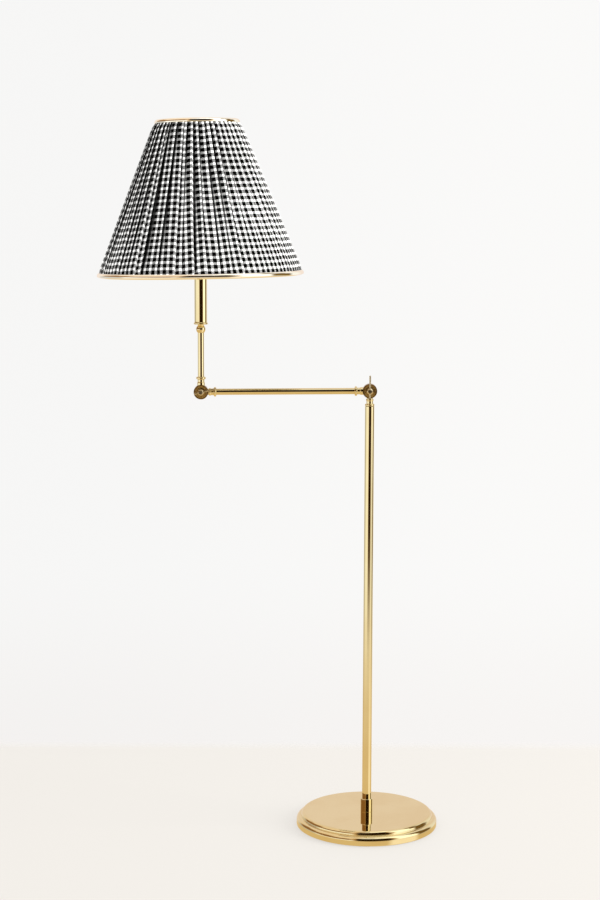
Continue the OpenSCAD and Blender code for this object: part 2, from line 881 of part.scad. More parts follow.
base_shell();
base_weight();
base_felt();
cord_bushing();
base_washer();
base_nut();
base_nipple();
pole_hub();
pole_tube();
pole_bushes();
pole_nipple();
pole_check_ring();
pole_knuckle();
pole_wire();
arm_knuckle_inner();
arm_knuckle_outer();
arm_tube();
arm_check_rings();
arm_nipples();
friction_washers();
arm_wire();
stem_knuckle();
stem_check_ring();
stem_nipple();
stem_tube();
stem_ball();
stem_wire();
candle_cup();
candle_tube();
socket_nipple();
socket_cup();
socket_nut();
socket_body();
screw_shell();
centre_contact();
bulb_cap();
bulb_glass();
shade_retaining_ring();
shade_fitter();
shade_lower_rim();
shade_upper_rim();
shade_lining();
shade_cloth();
arm_key();
stem_key();
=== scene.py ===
"""Looks of the bridge floor lamp: studio, brass and the gathered gingham shade."""

import json
import math

import bpy
import numpy as np
from mathutils import Matrix, Vector


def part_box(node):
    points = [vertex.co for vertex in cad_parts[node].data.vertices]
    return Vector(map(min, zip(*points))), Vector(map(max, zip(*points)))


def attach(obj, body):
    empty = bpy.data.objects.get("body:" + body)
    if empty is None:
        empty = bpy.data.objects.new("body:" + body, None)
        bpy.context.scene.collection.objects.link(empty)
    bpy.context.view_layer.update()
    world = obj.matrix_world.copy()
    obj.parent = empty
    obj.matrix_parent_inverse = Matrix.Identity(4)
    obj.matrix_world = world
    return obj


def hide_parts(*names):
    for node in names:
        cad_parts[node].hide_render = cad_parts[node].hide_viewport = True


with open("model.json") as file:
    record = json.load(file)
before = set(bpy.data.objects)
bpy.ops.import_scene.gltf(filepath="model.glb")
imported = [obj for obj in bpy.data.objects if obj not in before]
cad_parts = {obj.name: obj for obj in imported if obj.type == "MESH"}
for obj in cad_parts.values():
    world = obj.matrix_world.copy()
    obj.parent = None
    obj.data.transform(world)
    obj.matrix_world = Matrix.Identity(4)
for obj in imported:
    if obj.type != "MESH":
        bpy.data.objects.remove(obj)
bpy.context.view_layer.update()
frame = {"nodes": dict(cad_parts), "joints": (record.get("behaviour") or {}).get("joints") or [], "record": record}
nodes = frame["nodes"]
pivots = {joint["name"]: joint["pos_m"] for joint in frame["joints"]}

MM = 0.001
DEGREES = 180 / math.pi

# The photograph's camera: its focal length in pixels of a picture that is 900 high, a sensor whose
# longer side spans that height, its place in metres and its angles in degrees
IMAGE_HEIGHT = 900
FOCAL_PIXELS = 1861.7
SENSOR_MM = 36.0
CAMERA_PLACE = (-0.1411, -3.758, 1.2575)
CAMERA_PITCH = 7.155
CAMERA_ROLL = 0.19

# The elbows, in metres: their axes, and the radius of their discs with a little to spare
POLE_ELBOW = pivots["arm_tilt"]
SHADE_ELBOW = pivots["shade_tilt"]
DISC_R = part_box("pole_knuckle")[1].x + 0.15 * MM

# The shade, in millimetres and degrees, as part.scad has it: its lower edge above its elbow, its
# lean, diameters and height, the rim bands' height, reach and web, the gap that the cloth keeps
# from them, and the section that follows
SHADE_ABOVE_ELBOW = 234.6655
SHADE_LEAN = 1.1
SHADE_BOTTOM_D = 414.5
SHADE_TOP_D = 168.5
SHADE_HEIGHT = 310.0
BAND_HEIGHT = 8.0
BAND_OUT = 4.5
WEB = 1.0
CLOTH_GAP = 0.3
SLOPE = math.atan((SHADE_BOTTOM_D - SHADE_TOP_D) / 2 / (SHADE_HEIGHT - BAND_HEIGHT))
SHADE_R = SHADE_BOTTOM_D / 2 - BAND_OUT * math.cos(SLOPE) + BAND_HEIGHT / 2 * math.sin(SLOPE)
SLANT = SHADE_HEIGHT / math.cos(SLOPE) - BAND_OUT * math.tan(SLOPE)
SHADE_PLACE = (SHADE_ELBOW[0], 0.0, SHADE_ELBOW[2] + SHADE_ABOVE_ELBOW * MM)

# How many pleats take up one, two and three checks of the cloth
PLEAT_COUNTS = {1: 4, 2: 34, 3: 10}
PLEATS = sum(PLEAT_COUNTS.values())
CHECK_COUNT = sum(checks * count for checks, count in PLEAT_COUNTS.items())

# The cloth, in millimetres: the length of a check's repeat, where the checks start along the cloth
# and up it, the cloth's thickness, its lowest level, how far its middle stands out and how far
# from the rims' bands it is wholly free
CHECK_PERIOD = 12.7
PLEAT_PHASE = -1.8
FIRST_ROW = 6.85
CLOTH_THICKNESS = 0.3
CLOTH_FLOOR = -0.55
CLOTH_BELLY = 1.9
SLOT_FADE = 14.0

# The cloth's mesh: rows of points up the shade, and points for each control point of a row
ROWS = 42
SAMPLES_PER_SPAN = 2

# Heights of the pleats over the cloth's floor, in millimetres: the faces in the rims' slots, what
# the free cloth adds to them below and what it adds above, and the same for the fold edges
FACE_HEIGHT = 1.35
FACE_FREE_BELOW = 0.35
FACE_FREE_ABOVE = 0.75
CREST_HEIGHT = 0.35
CREST_FREE = 0.7

# Sideways sway of the pleats and the length over which it turns, in millimetres
SWAY = 0.9
SWAY_LENGTH = 70.0

# How a pleat folds, in millimetres: the spare cloth with which it starts to fold under the next
# pleat, the further spare with which it does so fully, how far its end then sinks, the least
# height of a valley, and the height over which painted shade deepens in a valley. The slack is
# the cloth in a pleat's face for each millimetre of it.
FOLD_STARTS = 3.0
FOLD_GROWS = 8.0
TAIL_DROP = 1.15
VALLEY_FLOOR = 0.25
VALLEY_SHADE_DEPTH = 1.6
FACE_SLACK = 1.01


# ---------- node helpers ----------
def plug(tree, socket, value):
    """Links a socket to another one, or sets its value."""
    if isinstance(value, bpy.types.NodeSocket):
        tree.links.new(value, socket)
    else:
        socket.default_value = value


def add(tree, kind, inputs=None, **settings):
    """A new node with its settings, and its inputs set or linked by name or number."""
    made = tree.nodes.new(kind)
    for name, value in settings.items():
        setattr(made, name, value)
    for name, value in (inputs or {}).items():
        plug(tree, made.inputs[name], value)
    return made


def maths(tree, operation, a, b=0.0, c=0.0):
    made = add(tree, "ShaderNodeMath", {0: a, 1: b, 2: c}, operation=operation)
    return made.outputs[0]


def multiply(tree, a, b):
    return maths(tree, "MULTIPLY", a, b)


def ramp(tree, value, low, high, out_low=0.0, out_high=1.0):
    """A smooth step of value from low to high."""
    made = add(
        tree,
        "ShaderNodeMapRange",
        {"Value": value, "From Min": low, "From Max": high, "To Min": out_low, "To Max": out_high},
        interpolation_type="SMOOTHSTEP",
    )
    return made.outputs["Result"]


def band(tree, value, low, high, soft):
    """1 between low and high, falling to 0 over soft on either side."""
    up = ramp(tree, value, low - soft, low + soft)
    down = ramp(tree, value, high - soft, high + soft, 1.0, 0.0)
    return multiply(tree, up, down)


def mix_colour(tree, factor, a, b, blend="MIX"):
    """Colour a, with b over it by the factor. The node's inputs 6 and 7 are its colours."""
    made = add(tree, "ShaderNodeMix", data_type="RGBA", blend_type=blend)
    plug(tree, made.inputs[0], factor)
    plug(tree, made.inputs[6], a)
    plug(tree, made.inputs[7], b)
    return made.outputs[2]


def multiply_colour(tree, a, b):
    return mix_colour(tree, 1.0, a, b, "MULTIPLY")


def noise(tree, vector, scale, detail, roughness=0.5):
    made = add(
        tree,
        "ShaderNodeTexNoise",
        {"Vector": vector, "Scale": scale, "Detail": detail, "Roughness": roughness},
    )
    return made.outputs["Fac"]


def bump(tree, height, strength, distance):
    made = add(
        tree, "ShaderNodeBump", {"Height": height, "Strength": strength, "Distance": distance}
    )
    return made.outputs["Normal"]


def new_material(name, **sockets):
    """A material with one Principled shader, its tree and that shader."""
    material = bpy.data.materials.new(name)
    material.use_nodes = True
    tree = material.node_tree
    shader = tree.nodes["Principled BSDF"]
    for socket, value in sockets.items():
        shader.inputs[socket.replace("_", " ")].default_value = value
    return material, tree, shader


def object_place(tree):
    return add(tree, "ShaderNodeTexCoord").outputs["Object"]


# ---------- materials ----------
# Lengths in the materials are in metres, and a noise's scale is in repeats per metre. The gingham
# counts in checks instead. First the polished brass, then the elbows' discs: light, dark, and
# darker near the edge.
POLISHED = (0.80, 0.70, 0.42, 1)
DISC_LIGHT = (0.62, 0.44, 0.17, 1)
DISC_DARK = (0.42, 0.27, 0.085, 1)
DISC_NEAR_EDGE = (0.26, 0.16, 0.05, 1)


def metal(name, light, dark, rough, scratch):
    """Polished metal: cloudy tint, uneven polish and faint wiping marks."""
    material, tree, shader = new_material(name, Metallic=1.0)
    place = object_place(tree)
    clouds = noise(tree, place, scale=14.0, detail=4.0)
    tint = mix_colour(tree, ramp(tree, clouds, 0.35, 0.7), light, dark)
    plug(tree, shader.inputs["Base Color"], tint)
    smears = noise(tree, place, scale=60.0, detail=5.0, roughness=0.6)
    plug(tree, shader.inputs["Roughness"], ramp(tree, smears, 0.35, 0.75, *rough))
    stretched = add(tree, "ShaderNodeMapping", {"Vector": place, "Scale": (1.0, 1.0, 0.06)})
    marks = noise(tree, stretched.outputs[0], scale=2600.0, detail=2.0)
    plug(tree, shader.inputs["Normal"], bump(tree, marks, strength=scratch, distance=0.0002))
    return material


def turned_metal(name, centre):
    """Elbow half: a satin disc with a lathe's concentric marks, and a polished neck."""
    material, tree, shader = new_material(name, Metallic=1.0)
    place = object_place(tree)
    from_axis = add(
        tree,
        "ShaderNodeMapping",
        {"Vector": place, "Location": (-centre[0], 0.0, -centre[2]), "Scale": (1.0, 0.0, 1.0)},
    ).outputs[0]
    distance = add(tree, "ShaderNodeVectorMath", {0: from_axis}, operation="LENGTH").outputs["Value"]
    edge = 0.2 * MM
    on_disc = ramp(tree, distance, DISC_R - edge, DISC_R + edge, 1.0, 0.0)
    blotches = noise(tree, place, scale=190.0, detail=4.0, roughness=0.6)
    satin = mix_colour(tree, ramp(tree, blotches, 0.35, 0.65), DISC_LIGHT, DISC_DARK)
    # The disc turns darker over its last few millimetres towards its edge.
    near_edge = ramp(tree, distance, DISC_R - 3.0 * MM, DISC_R - 1.4 * MM)
    satin = mix_colour(tree, near_edge, satin, DISC_NEAR_EDGE)
    plug(tree, shader.inputs["Base Color"], mix_colour(tree, on_disc, POLISHED, satin))
    neck_rough = 0.05
    grain = ramp(tree, blotches, 0.3, 0.7, 0.14, 0.26)
    extra = maths(tree, "SUBTRACT", grain, neck_rough)
    plug(tree, shader.inputs["Roughness"], maths(tree, "MULTIPLY_ADD", on_disc, extra, neck_rough))
    rings = add(
        tree,
        "ShaderNodeTexWave",
        {"Vector": from_axis, "Scale": 190.0, "Distortion": 2.2, "Detail": 3.0, "Detail Scale": 0.6},
        wave_type="RINGS",
        rings_direction="Y",
    ).outputs["Fac"]
    height = multiply(tree, rings, on_disc)
    plug(tree, shader.inputs["Normal"], bump(tree, height, strength=0.3, distance=0.0004))
    return material


def grained(name, light, dark, roughness, grain, depth, sheen=0.0):
    """Matt material with a fine grain, such as cast iron, felt, fibre or moulded plastic."""
    material, tree, shader = new_material(name, Roughness=roughness, Sheen_Weight=sheen)
    place = object_place(tree)
    grains = noise(tree, place, scale=grain, detail=6.0, roughness=0.65)
    patches = noise(tree, place, scale=grain / 30, detail=3.0)
    both = maths(tree, "MULTIPLY_ADD", grains, 0.6, multiply(tree, patches, 0.4))
    plug(tree, shader.inputs["Base Color"], mix_colour(tree, ramp(tree, both, 0.3, 0.7), light, dark))
    plug(tree, shader.inputs["Normal"], bump(tree, grains, strength=0.6, distance=depth))
    return material


def lining_material():
    """Ivory bonded lining, its tints darkened as painted shade of the unlit lampshade: a fine plain weave over
    smooth board.
    """
    # Both tints are darker than ivory: painted shade for the unlit inside of the lampshade.
    light = (0.64, 0.59, 0.49, 1)
    dark = (0.58, 0.53, 0.43, 1)
    material, tree, shader = new_material("lining_ivory_painted_shade", Roughness=0.75, Sheen_Weight=0.1)
    place = object_place(tree)
    patches = noise(tree, place, scale=12.0, detail=3.0)
    tint = mix_colour(tree, ramp(tree, patches, 0.3, 0.7), light, dark)
    plug(tree, shader.inputs["Base Color"], tint)
    weave = noise(tree, place, scale=900.0, detail=2.0)
    plug(tree, shader.inputs["Normal"], bump(tree, weave, strength=0.25, distance=0.0002))
    return material


def bulb_material():
    """Opal glass: soft white body under a smooth skin."""
    light = (0.86, 0.86, 0.84, 1)
    dark = (0.8, 0.8, 0.78, 1)
    material, tree, shader = new_material(
        "bulb_opal_glass", Roughness=0.35, Coat_Weight=0.5, Coat_Roughness=0.12
    )
    haze = noise(tree, object_place(tree), scale=25.0, detail=3.0)
    plug(tree, shader.inputs["Base Color"], mix_colour(tree, ramp(tree, haze, 0.3, 0.7), light, dark))
    return material


# The gingham: its dyes, and as shares of a check's repeat where its dark stripe lies, how soft the
# stripe's edges are and how far the yarn's unevenness moves them
DYED_BLACK = (0.012, 0.012, 0.0125, 1)
DYED_WHITE = (0.94, 0.94, 0.935, 1)
STRIPE = (0.2, 0.8)
STRIPE_SOFT = 0.012
STRIPE_WANDER = 0.05
THREADS_PER_CHECK = 44.0


def dyed_threads(tree, place, slub):
    """Colour of the threads that lie side by side along place, in checks."""
    wandering = maths(tree, "ADD", place, multiply(tree, slub, STRIPE_WANDER))
    dark = band(tree, maths(tree, "FRACT", wandering), *STRIPE, STRIPE_SOFT)
    return mix_colour(tree, dark, DYED_WHITE, DYED_BLACK)


def thread_wave(tree, place):
    """A wave along place, in checks, with one crest or trough for each thread."""
    return maths(tree, "SINE", multiply(tree, place, THREADS_PER_CHECK * math.pi))


def gingham_material():
    """Black and white gingham: dyed warp and weft in a plain weave, with painted shade between its threads and
    deep in its valleys.
    """
    material, tree, shader = new_material(
        "cloth_gingham", Roughness=0.9, Specular_IOR_Level=0.04
    )
    uv = add(tree, "ShaderNodeUVMap", uv_map="cloth").outputs["UV"]
    across, along, _ = add(tree, "ShaderNodeSeparateXYZ", {"Vector": uv}).outputs
    slub = noise(tree, uv, scale=9.0, detail=4.0)
    warp = dyed_threads(tree, across, slub)
    weft = dyed_threads(tree, along, slub)
    over = multiply(tree, thread_wave(tree, across), thread_wave(tree, along))
    warp_share = maths(tree, "MULTIPLY_ADD", over, 0.28, 0.5)
    blended = mix_colour(tree, warp_share, weft, warp)
    woven = add(tree, "ShaderNodeGamma", {"Color": blended, "Gamma": 2.3}).outputs[0]
    thread = maths(tree, "ABSOLUTE", over)
    # Painted shade at the threads' edges, where they dip between one another.
    woven_thread_shaded = multiply_colour(tree, woven, ramp(tree, thread, 0.0, 0.5, 0.82, 1.0))
    hollow = add(tree, "ShaderNodeAttribute", attribute_name="hollow").outputs["Fac"]
    # Painted shade in the valleys: the cloth darkens to almost black where it lies deepest.
    valley_painted_shade = ramp(tree, hollow, 0.05, 0.6, 1.0, 0.03)
    plug(tree, shader.inputs["Base Color"], multiply_colour(tree, woven_thread_shaded, valley_painted_shade))
    plug(tree, shader.inputs["Normal"], bump(tree, thread, strength=0.35, distance=0.0001))
    return material


def make_materials():
    """The material of each slot in the record, with finishes of their own for rims and keys."""
    return {
        "brass": metal(
            "brass_polished", POLISHED, (0.77, 0.655, 0.375, 1),
            rough=(0.03, 0.075), scratch=0.006,
        ),
        "trim": metal(
            "brass_trim", (1.0, 0.975, 0.87, 1), (0.98, 0.945, 0.82, 1),
            rough=(0.03, 0.07), scratch=0.01,
        ),
        "key": metal(
            "brass_key", (0.60, 0.52, 0.35, 1), (0.50, 0.42, 0.27, 1),
            rough=(0.16, 0.28), scratch=0.03,
        ),
        "inner_brass": metal(
            "brass_plain", (0.70, 0.52, 0.26, 1), (0.58, 0.41, 0.19, 1),
            rough=(0.2, 0.38), scratch=0.1,
        ),
        "steel": metal(
            "steel_zinc", (0.62, 0.62, 0.60, 1), (0.50, 0.50, 0.49, 1),
            rough=(0.22, 0.4), scratch=0.1,
        ),
        "cast_iron": grained(
            "cast_iron", (0.05, 0.05, 0.05, 1), (0.02, 0.02, 0.02, 1),
            roughness=0.7, grain=420, depth=4e-4,
        ),
        "felt": grained(
            "felt_dark", (0.035, 0.032, 0.03, 1), (0.012, 0.011, 0.01, 1),
            roughness=0.95, grain=1500, depth=5e-4, sheen=0.4,
        ),
        "bushing": grained(
            "nylon_black", (0.02, 0.02, 0.02, 1), (0.01, 0.01, 0.01, 1),
            roughness=0.4, grain=900, depth=5e-5,
        ),
        "fibre": grained(
            "fibre_brown", (0.13, 0.05, 0.025, 1), (0.07, 0.025, 0.012, 1),
            roughness=0.6, grain=1200, depth=1e-4,
        ),
        "phenolic": grained(
            "phenolic_black", (0.016, 0.014, 0.013, 1), (0.008, 0.007, 0.006, 1),
            roughness=0.28, grain=700, depth=3e-5,
        ),
        "wire_jacket": grained(
            "wire_jacket", (0.16, 0.10, 0.045, 1), (0.10, 0.06, 0.025, 1),
            roughness=0.5, grain=900, depth=5e-5,
        ),
        "lining": lining_material(),
        "gingham": gingham_material(),
        "bulb_glass": bulb_material(),
    }


def dress_nodes(materials):
    """Gives every CAD node the material of its slot, and elbows, rims and keys their own."""
    slots = {row["node"]: row["material_slot"] for row in frame["record"]["subparts"]}
    for name, piece in nodes.items():
        piece.data.materials.clear()
        piece.data.materials.append(materials[slots[name]])
    elbow_pole = turned_metal("brass_elbow_pole", POLE_ELBOW)
    elbow_shade = turned_metal("brass_elbow_shade", SHADE_ELBOW)
    own_finish = {
        "pole_knuckle": elbow_pole,
        "arm_knuckle_inner": elbow_pole,
        "arm_knuckle_outer": elbow_shade,
        "stem_knuckle": elbow_shade,
        "shade_lower_rim": materials["trim"],
        "shade_upper_rim": materials["trim"],
        "arm_key": materials["key"],
        "stem_key": materials["key"],
    }
    for name, material in own_finish.items():
        nodes[name].data.materials[0] = material


# ---------- shade cloth ----------
# A place on the cloth is rise, the millimetres up the shade's slant from its lower edge, and out,
# the millimetres square to the slant.
def cone_radius(rise, out):
    return SHADE_R - rise * math.sin(SLOPE) + out * math.cos(SLOPE)


def cone_height(rise, out):
    return rise * math.cos(SLOPE) + out * math.sin(SLOPE)


def smooth(t):
    """A smooth step from 0 at 0 to 1 at 1."""
    t = np.clip(t, 0.0, 1.0)
    return t * t * (3 - 2 * t)


def free_share(rise):
    """0 inside the rims' slots and 1 where the cloth is free."""
    reach = BAND_HEIGHT + SLOT_FADE
    return float(smooth(rise / reach) * smooth((SLANT - rise) / reach))


def liveliness(turn):
    """How uneven the pleats are. A turn is 0 at the seam, 0.25 right, 0.5 in front and 0.75 left.

    As in the photograph, they are calm on the right, lively on the left and most so at its edge."""
    right_of_front = 0.39
    left_edge = 0.74
    on_left = smooth((turn - right_of_front) / 0.12)
    at_edge = 1.0 - smooth((np.abs(turn - left_edge) - 0.02) / 0.1)
    return 0.4 + 0.85 * on_left + 0.4 * at_edge


class Pleats:
    """Sizes of the pleats, drawn at random in the same way at each run.

    A pleat has its length of flat cloth, in whole checks, and where that starts. It has its share
    of the ring above and below, a factor for its heights, its bulge and the phase of its sway. Its
    rows of checks shift and tilt. Its valley is a gap, with the most that it may take of a pleat."""

    def __init__(self):
        rng = np.random.default_rng(41)
        checks = np.repeat(list(PLEAT_COUNTS), list(PLEAT_COUNTS.values()))
        self.flat = rng.permutation(checks) * CHECK_PERIOD
        self.start = np.concatenate([[0.0], np.cumsum(self.flat)[:-1]])
        lively = liveliness(np.arange(PLEATS) / PLEATS)
        top = self.flat**0.8 * rng.uniform(0.85, 1.15, PLEATS)
        self.top_share = top / top.sum()
        low = self.flat * rng.uniform(0.985, 1.015, PLEATS)
        self.low_share = low / low.sum()
        self.height = rng.uniform(0.75, 1.25, PLEATS)
        self.bulge = rng.uniform(0.1, 0.6, PLEATS)
        self.sway = rng.uniform(0.0, 2 * math.pi, PLEATS)
        self.row_shift = rng.uniform(-1.8, 1.8, PLEATS) * lively
        self.row_tilt = rng.uniform(-0.4, 3.4, PLEATS) * lively
        strong = rng.uniform(0.0, 1.0, PLEATS) ** 2
        self.gap = (1.5 + 3.2 * strong) * (0.3 + lively)
        self.gap_share = 0.19 + 0.05 * lively


def pleat_outline(width, flat, crest, face, bulge, gap):
    """Control points of one pleat as (place along the ring, height), with its fold edge first.

    Width is what the pleat takes up of the ring, flat its length of cloth, crest and face the
    heights of its fold edge and its face, and gap the width of its valley. The cloth runs over
    the face, dips into the valley and, where it is longer than the valley is deep, folds back
    under the next pleat."""
    span = width - gap
    spare = max(flat - span * FACE_SLACK, gap)
    overlap = float(smooth((spare - FOLD_STARTS) / FOLD_GROWS))
    tail = face - TAIL_DROP * overlap
    room = tail - VALLEY_FLOOR
    depth = min(0.5 * math.sqrt(max(spare**2 - gap**2, 0.0)), room)
    lean = max(0.0, math.sqrt(max((spare / 2) ** 2 - room**2, 0.0)) - gap / 2)
    low = tail - depth
    edge = face + (crest - face) * overlap
    centre = span + gap / 2
    bend = min(0.5, 0.2 + 0.05 * lean)
    under = low + min(0.55, 0.3 * depth)
    over_face = [
        (0.0, edge),
        (0.07 * span, edge + 0.5 * bulge),
        (0.24 * span, face + bulge),
        (0.5 * span, face + bulge),
        (0.78 * span, (face + tail) / 2 + 0.6 * bulge),
        (span, tail),
    ]
    round_valley = [
        (centre + 0.35 * lean - 0.25 * gap, tail - 0.5 * depth),
        (centre + lean - bend, low),
        (centre + lean + 0.6 * bend, (low + under) / 2),
        (centre + lean - bend * 0.6, under),
        (centre + 0.35 * lean + 0.25 * gap, under + 0.3 * (edge - under)),
        (centre + 0.5 * gap - 0.35, edge - 0.45 * min(depth, 2.0)),
    ]
    return over_face + round_valley


def shares_travelled(outline, width):
    """How far along the pleat's cloth each point of its outline lies, from 0 to 1."""
    path = np.array(outline)
    steps = np.hypot(*np.diff(path, axis=0).T)
    closing = math.hypot(width - path[-1, 0], path[-1, 1] - path[0, 1])
    travelled = np.concatenate([[0.0], np.cumsum(steps)])
    return travelled / (travelled[-1] + closing)


def pleat_points(pleats, i, rise, lowness, start, width):
    """Points of one pleat: place along the ring, height, flat place, row shift and hollowness."""
    free = free_share(rise)
    above = FACE_FREE_BELOW + FACE_FREE_ABOVE * (1 - lowness)
    face = FACE_HEIGHT + free * above * pleats.height[i]
    crest = face + (CREST_HEIGHT + CREST_FREE * free) * pleats.height[i]
    sway = SWAY * free * math.sin(pleats.sway[i] + rise / SWAY_LENGTH)
    gap = min(pleats.gap[i] * (0.6 + 0.4 * free), pleats.gap_share[i] * width)
    outline = pleat_outline(width, pleats.flat[i], crest, face, free * pleats.bulge[i], gap)
    points = []
    for (place, height), share in zip(outline, shares_travelled(outline, width)):
        flat = PLEAT_PHASE + pleats.start[i] + share * pleats.flat[i]
        shift = pleats.row_shift[i] + pleats.row_tilt[i] * (share - 0.5)
        # How deep the point lies in its valley, from 0 to 1, which the gingham turns into painted shade.
        hollow = min(1.0, max(0.0, (face - VALLEY_FLOOR - height) / VALLEY_SHADE_DEPTH))
        points.append((start + place + sway, height, flat, shift, hollow))
    return points


def closed_spline(points):
    """A closed uniform cubic B-spline of control points, sampled evenly in each span."""
    before = np.roll(points, 1, axis=0)
    after = np.roll(points, -1, axis=0)
    after_next = np.roll(points, -2, axis=0)
    samples = []
    for k in range(SAMPLES_PER_SPAN):
        t = k / SAMPLES_PER_SPAN
        weights = (
            (1 - t) ** 3 / 6,
            (3 * t**3 - 6 * t**2 + 4) / 6,
            (-3 * t**3 + 3 * t**2 + 3 * t + 1) / 6,
            t**3 / 6,
        )
        samples.append(
            weights[0] * before + weights[1] * points + weights[2] * after + weights[3] * after_next
        )
    return np.stack(samples, axis=1).reshape(-1, points.shape[1])


def spline_across_seam(points, ring):
    """The spline of a whole ring of pleats. Points repeated past the seam carry it across."""
    early = 2
    late = 3
    wrapped = np.concatenate([points[-early:], points, points[:late]])
    wrapped[:early, 0] -= ring
    wrapped[:early, 2] -= CHECK_COUNT * CHECK_PERIOD
    wrapped[-late:, 0] += ring
    wrapped[-late:, 2] += CHECK_COUNT * CHECK_PERIOD
    samples = closed_spline(wrapped)
    first = early * SAMPLES_PER_SPAN
    return samples[first : first + len(points) * SAMPLES_PER_SPAN]


def cloth_row(pleats, rise, lowness):
    """One horizontal ring of the cloth, as pleat_points has its columns, and the ring's length."""
    ring = 2 * math.pi * cone_radius(rise, CLOTH_FLOOR)
    widths = ring * (pleats.top_share * (1 - lowness) + pleats.low_share * lowness)
    points = []
    start = 0.0
    for i, width in enumerate(widths):
        points += pleat_points(pleats, i, rise, lowness, start, width)
        start += width
    return spline_across_seam(np.array(points), ring), ring


def build_cloth(material):
    """The gathered cloth: knife pleats that open from the upper rim to the lower one."""
    pleats = Pleats()
    low = WEB + CLOTH_GAP
    high = SLANT - WEB - CLOTH_GAP
    radius_low = cone_radius(low, CLOTH_FLOOR)
    radius_high = cone_radius(high, CLOTH_FLOOR)
    seam_angle = math.pi
    vertices, uvs, hollows = [], [], []
    for row in range(ROWS):
        rise = low + (high - low) * row / (ROWS - 1)
        lowness = (cone_radius(rise, CLOTH_FLOOR) - radius_high) / (radius_low - radius_high)
        samples, ring = cloth_row(pleats, rise, lowness)
        closed = np.concatenate([samples, samples[:1]])
        closed[-1, 2] += CHECK_COUNT * CHECK_PERIOD
        for place, height, flat, shift, hollow in closed:
            angle = seam_angle - place / ring * 2 * math.pi
            out = CLOTH_FLOOR + height + CLOTH_BELLY * free_share(rise)
            radius = cone_radius(rise, out) * MM
            level = cone_height(rise, out) * MM
            vertices.append((radius * math.sin(angle), -radius * math.cos(angle), level))
            uvs.append((flat / CHECK_PERIOD, (rise + FIRST_ROW + shift) / CHECK_PERIOD))
            hollows.append(hollow)
    return cloth_piece(cloth_mesh(vertices, uvs, hollows), material)


def cloth_mesh(vertices, uvs, hollows):
    """The sheet, from rows of points. Its two side edges meet at the seam."""
    columns = len(vertices) // ROWS
    faces = []
    for row in range(ROWS - 1):
        for column in range(columns - 1):
            a = row * columns + column
            faces.append((a, a + columns, a + columns + 1, a + 1))
    mesh = bpy.data.meshes.new("gathered_gingham")
    mesh.from_pydata(vertices, [], faces)
    layer = mesh.uv_layers.new(name="cloth")
    corners = np.array(faces).ravel()
    layer.data.foreach_set("uv", np.array(uvs, np.float32)[corners].ravel())
    attribute = mesh.attributes.new("hollow", "FLOAT", "POINT")
    attribute.data.foreach_set("value", np.array(hollows, np.float32))
    mesh.polygons.foreach_set("use_smooth", [True] * len(faces))
    lean = Matrix.Rotation(math.radians(-SHADE_LEAN), 4, "Y")
    mesh.transform(Matrix.Translation(SHADE_PLACE) @ lean)
    mesh.update()
    return mesh


def cloth_piece(mesh, material):
    """The cloth's object, with its thickness on the inner side of the sheet."""
    mesh.materials.append(material)
    piece = bpy.data.objects.new("gathered_gingham", mesh)
    bpy.context.scene.collection.objects.link(piece)
    shell = piece.modifiers.new("thickness", "SOLIDIFY")
    shell.thickness = CLOTH_THICKNESS * MM
    shell.offset = -1.0
    return piece


# ---------- studio ----------
def make_camera():
    """The photograph's camera."""
    data = bpy.data.cameras.new("camera")
    data.sensor_width = SENSOR_MM
    data.lens = FOCAL_PIXELS / IMAGE_HEIGHT * SENSOR_MM
    camera = bpy.data.objects.new("camera", data)
    tilt = Matrix.Rotation(math.radians(90 - CAMERA_PITCH), 4, "X")
    roll = Matrix.Rotation(math.radians(CAMERA_ROLL), 4, "Z")
    camera.matrix_world = Matrix.Translation(CAMERA_PLACE) @ tilt @ roll
    bpy.context.scene.collection.objects.link(camera)
    bpy.context.scene.camera = camera


# What the brass mirrors, painted over pale walls one over the other: azimuth range and softness,
# elevation range and softness, in degrees, and colour. Azimuth 0 is towards the camera and +90
# the right.
WALLS = (1.0, 0.985, 0.955, 1)
STUDIO = [
    # left: a bright strip at the horizon, warm above it, grey further back, and brown in between
    ((-92, -20, 6), (-14, 3, 4), (1.2, 1.18, 1.14, 1)),
    ((-150, -20, 6), (6, 95, 4), (1.0, 0.82, 0.64, 1)),
    ((-150, -94, 6), (-20, 4, 4), (0.65, 0.64, 0.62, 1)),
    ((-136, -26, 7), (1, 36, 3), (0.33, 0.165, 0.06, 1)),
    # right: the window
    ((40, 93, 6), (-6, 95, 3), (1.65, 1.62, 1.54, 1)),
    # the wall behind the lamp, on both sides of azimuth 180
    ((147, 200, 12), (-95, 95, 5), (0.915, 0.785, 0.70, 1)),
    ((-200, -147, 12), (-95, 95, 5), (0.915, 0.785, 0.70, 1)),
    # the floor, brighter under the window
    ((-200, 200, 5), (-95, -14, 4), (0.84, 0.64, 0.365, 1)),
    ((38, 90, 7), (-95, -14, 4), (1.2, 1.06, 0.87, 1)),
    # right: a dark corner behind the window
    ((90, 124, 5), (-13, 55, 3), (0.2, 0.12, 0.035, 1)),
]

# The dark side where the camera stands: its elevations, and the azimuths and colours of its brown
# edge and of its middle. Above the horizon azimuths count for less, so it is wider there.
CAMERA_SIDE_ELEVATIONS = (-11.5, 57.0, 2.5)
CAMERA_SIDE = [
    ((-23.0, 43.0, 5.0), (0.55, 0.33, 0.14, 1)),
    ((-17.0, 37.0, 3.5), (0.022, 0.009, 0.0, 1)),
]
AZIMUTH_SHARE_ABOVE = 0.86


def paint_patch(tree, colour, across, upright, paint):
    """A patch of paint over the colour, where it is both within its width and its height."""
    return mix_colour(tree, multiply(tree, across, upright), colour, paint)


